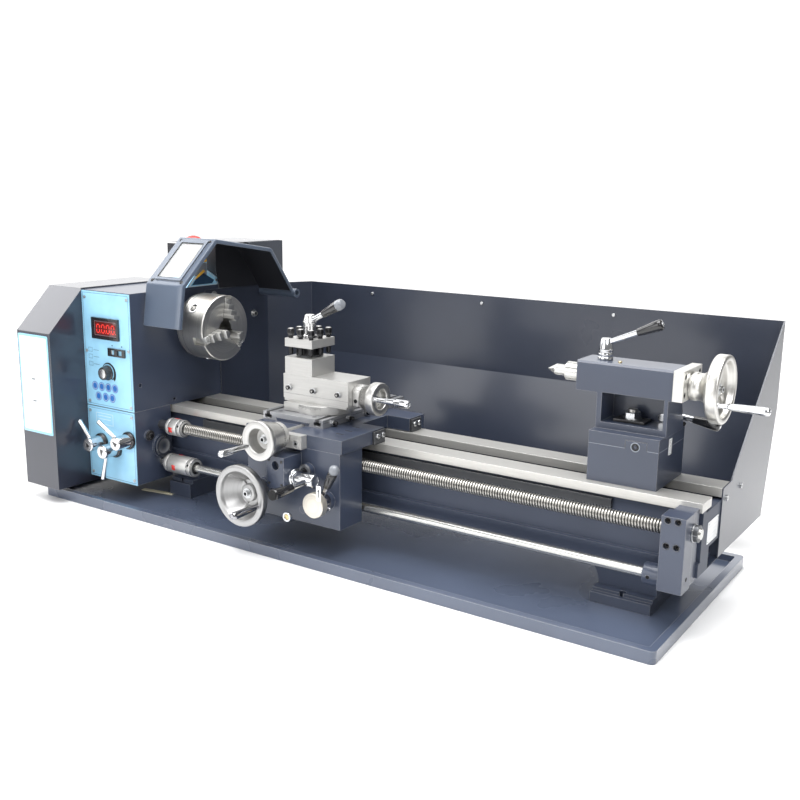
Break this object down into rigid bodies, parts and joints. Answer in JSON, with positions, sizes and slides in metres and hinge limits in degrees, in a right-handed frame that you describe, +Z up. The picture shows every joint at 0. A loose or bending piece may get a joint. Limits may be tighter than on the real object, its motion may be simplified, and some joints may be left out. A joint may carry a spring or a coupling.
{
  "type": "metal lathe",
  "caption": "Bench metal lathe on a chip tray, with a three-jaw chuck under a swing guard, geared carriage, compound slide, tailstock and splash guard.",
  "frame": {"origin": "middle of the underside of the chip tray", "axes": "+X from the headstock to the tailstock along the bed, +Y from the operator to the splash guard, +Z up"},
  "size_m": [1.3294, 0.607, 0.5035],
  "materials": {
    "grey_paint": "satin paint",
    "bed_paint": "satin paint over cast iron",
    "dark_paint": "satin paint",
    "blue_grey_paint": "satin paint on sheet steel",
    "guard_paint": "satin paint on sheet steel",
    "blue_panel": "satin printed panel",
    "black_plastic": "matt",
    "red_plastic": "gloss",
    "clear_plastic": "clear",
    "belt_rubber": "matt",
    "ground_steel": "ground",
    "chuck_steel": "turned",
    "jaw_steel": "ground",
    "screw_steel": "turned",
    "dark_steel": "machined",
    "black_steel": "blackened",
    "zinc_steel": "zinc plated",
    "cast_aluminium": "machined casting",
    "polished_aluminium": "polished",
    "chrome": "bright",
    "brass": "machined"
  },
  "bodies": {
    "frame": {"tray": "grey_paint", "bed": "bed_paint", "bed_feet": "dark_paint", "rack": "dark_steel", "headstock": "bed_paint", "gearbox": "bed_paint", "gear_cover": "grey_paint", "front_panels": "blue_panel", "speed_display": "black_plastic", "console": "blue_panel", "electrical_box": "grey_paint", "splash_guard": "blue_grey_paint", "end_bracket": "bed_paint", "motor": "dark_paint", "spindle_bearings": "ground_steel", "fasteners": "zinc_steel", "drive_belt": "belt_rubber"},
    "spindle": {"spindle": "ground_steel", "chuck_body": "chuck_steel"},
    "scroll": {"chuck_scroll": "dark_steel"},
    "jaw_1": {"jaw_1": "jaw_steel"},
    "jaw_2": {"jaw_2": "jaw_steel"},
    "jaw_3": {"jaw_3": "jaw_steel"},
    "motor_pulley": {"motor_pulley": "cast_aluminium"},
    "idler_gear": {"idler_gear": "dark_steel"},
    "leadscrew": {"leadscrew": "screw_steel"},
    "feed_rod": {"feed_rod": "ground_steel"},
    "carriage": {"saddle": "bed_paint", "apron": "bed_paint", "cross_screw_bracket": "cast_aluminium", "way_wipers": "brass"},
    "carriage_handwheel": {"carriage_handwheel": "cast_aluminium"},
    "feed_lever": {"feed_lever": "chrome"},
    "half_nut_lever": {"half_nut_lever": "chrome"},
    "half_nut": {"half_nut": "brass"},
    "cross_handwheel": {"cross_handwheel": "cast_aluminium"},
    "cross_slide": {"cross_slide": "ground_steel"},
    "compound": {"compound_base": "ground_steel"},
    "top_slide": {"top_slide": "ground_steel"},
    "compound_handwheel": {"compound_handwheel": "cast_aluminium"},
    "tool_post": {"tool_post": "ground_steel", "tool_post_bolts": "black_steel"},
    "tool_post_lever": {"tool_post_lever": "chrome"},
    "tailstock": {"tailstock_base": "bed_paint", "tailstock_body": "bed_paint", "end_plate": "cast_aluminium", "tailstock_clamp": "dark_steel"},
    "base_lock_lever": {"base_lock_lever": "chrome"},
    "quill": {"quill": "ground_steel", "dead_centre": "ground_steel"},
    "tailstock_handwheel": {"tailstock_handwheel": "polished_aluminium"},
    "quill_lock_lever": {"quill_lock_lever": "chrome"},
    "chuck_guard": {"chuck_guard": "guard_paint", "guard_window": "clear_plastic"},
    "gearbox_lever_1": {"gearbox_lever_1": "chrome"},
    "gearbox_lever_2": {"gearbox_lever_2": "chrome"},
    "gearbox_lever_3": {"gearbox_lever_3": "chrome"},
    "speed_knob": {"speed_knob": "black_plastic"},
    "direction_switch": {"direction_switch": "black_plastic"},
    "emergency_stop": {"emergency_stop": "red_plastic"}
  },
  "joints": [
    {"name": "spindle_spin", "type": "hinge", "parent": "frame", "child": "spindle", "pos_m": [-0.4, 0, 0.3331], "axis": [1, 0, 0], "continuous": true},
    {"name": "scroll_turn", "type": "hinge", "parent": "spindle", "child": "scroll", "pos_m": [-0.364, 0, 0.3331], "axis": [1, 0, 0], "range_deg": [-720, 1440]},
    {"name": "jaw_1_travel", "type": "slide", "parent": "spindle", "child": "jaw_1", "axis": [0, 0.1736, 0.9848], "range_m": [-0.01, 0.02]},
    {"name": "jaw_2_travel", "type": "slide", "parent": "spindle", "child": "jaw_2", "axis": [0, -0.9397, -0.342], "range_m": [-0.01, 0.02]},
    {"name": "jaw_3_travel", "type": "slide", "parent": "spindle", "child": "jaw_3", "axis": [0, 0.766, -0.6428], "range_m": [-0.01, 0.02]},
    {"name": "motor_spin", "type": "hinge", "parent": "frame", "child": "motor_pulley", "pos_m": [-0.57, 0.12, 0.13], "axis": [1, 0, 0], "continuous": true},
    {"name": "idler_spin", "type": "hinge", "parent": "frame", "child": "idler_gear", "pos_m": [-0.57, -0.07036, 0.25926], "axis": [1, 0, 0], "continuous": true},
    {"name": "leadscrew_spin", "type": "hinge", "parent": "frame", "child": "leadscrew", "pos_m": [0, -0.095, 0.15], "axis": [1, 0, 0], "continuous": true},
    {"name": "feed_rod_spin", "type": "hinge", "parent": "frame", "child": "feed_rod", "pos_m": [0, -0.095, 0.0778], "axis": [1, 0, 0], "continuous": true},
    {"name": "carriage_travel", "type": "slide", "parent": "frame", "child": "carriage", "axis": [1, 0, 0], "range_m": [-0.14, 0.25]},
    {"name": "carriage_wheel_turn", "type": "hinge", "parent": "carriage", "child": "carriage_handwheel", "pos_m": [-0.084, -0.2, 0.104], "axis": [0, 1, 0], "range_deg": [-2293, 4094]},
    {"name": "feed_lever_turn", "type": "hinge", "parent": "carriage", "child": "feed_lever", "pos_m": [0, -0.188, 0.14], "axis": [1, 0, 0], "range_deg": [-20, 20]},
    {"name": "half_nut_lever_turn", "type": "hinge", "parent": "carriage", "child": "half_nut_lever", "pos_m": [0.047, -0.19, 0.105], "axis": [0, 1, 0], "range_deg": [0, 40]},
    {"name": "half_nut_travel", "type": "slide", "parent": "carriage", "child": "half_nut", "axis": [0, 0, 1], "range_m": [0, 0.0042]},
    {"name": "cross_travel", "type": "slide", "parent": "carriage", "child": "cross_slide", "axis": [0, 1, 0], "range_m": [-0.04, 0.06]},
    {"name": "cross_wheel_turn", "type": "hinge", "parent": "carriage", "child": "cross_handwheel", "pos_m": [-0.04, -0.2, 0.2045], "axis": [0, 1, 0], "range_deg": [-3600, 5400]},
    {"name": "compound_swivel", "type": "hinge", "parent": "cross_slide", "child": "compound", "pos_m": [-0.048, -0.052, 0.23], "axis": [0, 0, 1], "range_deg": [-30, 30]},
    {"name": "top_slide_travel", "type": "slide", "parent": "compound", "child": "top_slide", "axis": [-1, 0, 0], "range_m": [-0.04, 0.002]},
    {"name": "compound_wheel_turn", "type": "hinge", "parent": "top_slide", "child": "compound_handwheel", "pos_m": [0.06, -0.06, 0.257], "axis": [-1, 0, 0], "range_deg": [-4806, 242]},
    {"name": "tool_post_index", "type": "hinge", "parent": "top_slide", "child": "tool_post", "pos_m": [-0.0745, -0.0585, 0.3], "axis": [0, 0, 1], "continuous": true},
    {"name": "tool_post_lever_turn", "type": "hinge", "parent": "top_slide", "child": "tool_post_lever", "pos_m": [-0.0745, -0.0585, 0.37], "axis": [0, 0, 1], "range_deg": [-60, 60]},
    {"name": "tailstock_travel", "type": "slide", "parent": "frame", "child": "tailstock", "axis": [1, 0, 0], "range_m": [-0.3, 0.01]},
    {"name": "base_lock_turn", "type": "hinge", "parent": "tailstock", "child": "base_lock_lever", "pos_m": [0.528, 0.05, 0.276], "axis": [0, 1, 0], "range_deg": [-40, 0]},
    {"name": "quill_travel", "type": "slide", "parent": "tailstock", "child": "quill", "axis": [-1, 0, 0], "range_m": [0, 0.08]},
    {"name": "tailstock_wheel_turn", "type": "hinge", "parent": "tailstock", "child": "tailstock_handwheel", "pos_m": [0.6, 0, 0.3331], "axis": [-1, 0, 0], "range_deg": [0, 9600]},
    {"name": "quill_lock_turn", "type": "hinge", "parent": "tailstock", "child": "quill_lock_lever", "pos_m": [0.442, 0, 0.37], "axis": [0, 0, 1], "range_deg": [-50, 50]},
    {"name": "guard_swing", "type": "hinge", "parent": "frame", "child": "chuck_guard", "pos_m": [-0.36, 0.193, 0.384], "axis": [1, 0, 0], "range_deg": [-90, 0]},
    {"name": "gearbox_lever_1_turn", "type": "hinge", "parent": "frame", "child": "gearbox_lever_1", "pos_m": [-0.5037, -0.185, 0.1155], "axis": [0, 1, 0], "range_deg": [0, 35]},
    {"name": "gearbox_lever_2_turn", "type": "hinge", "parent": "frame", "child": "gearbox_lever_2", "pos_m": [-0.427, -0.185, 0.1295], "axis": [0, 1, 0], "range_deg": [-15, 45]},
    {"name": "gearbox_lever_3_turn", "type": "hinge", "parent": "frame", "child": "gearbox_lever_3", "pos_m": [-0.465, -0.185, 0.1075], "axis": [0, 1, 0], "range_deg": [-30, 30]},
    {"name": "speed_knob_turn", "type": "hinge", "parent": "frame", "child": "speed_knob", "pos_m": [-0.477, -0.17, 0.253], "axis": [0, 1, 0], "range_deg": [0, 270]},
    {"name": "direction_switch_travel", "type": "slide", "parent": "frame", "child": "direction_switch", "axis": [1, 0, 0], "range_m": [-0.008, 0.008]},
    {"name": "emergency_stop_press", "type": "slide", "parent": "frame", "child": "emergency_stop", "axis": [0, 0, -1], "range_m": [0, 0.004]}
  ],
  "couplings": [
    {"joint": "jaw_1_travel", "follows": "scroll_turn", "m_per_rad": 0.000795},
    {"joint": "jaw_2_travel", "follows": "scroll_turn", "m_per_rad": 0.000795},
    {"joint": "jaw_3_travel", "follows": "scroll_turn", "m_per_rad": 0.000795},
    {"joint": "motor_spin", "follows": "spindle_spin", "ratio": 2.2917},
    {"joint": "idler_spin", "follows": "spindle_spin", "ratio": -0.41667},
    {"joint": "leadscrew_spin", "follows": "spindle_spin", "ratio": 0.75},
    {"joint": "feed_rod_spin", "follows": "spindle_spin", "ratio": -0.75},
    {"joint": "carriage_wheel_turn", "follows": "carriage_travel", "rad_per_m": 285.71},
    {"joint": "half_nut_travel", "follows": "half_nut_lever_turn", "m_per_rad": 0.006},
    {"joint": "cross_travel", "follows": "cross_wheel_turn", "m_per_rad": 0.0006366},
    {"joint": "compound_wheel_turn", "follows": "top_slide_travel", "rad_per_m": 2096.4},
    {"joint": "quill_travel", "follows": "tailstock_wheel_turn", "m_per_rad": 0.000477}
  ]
}
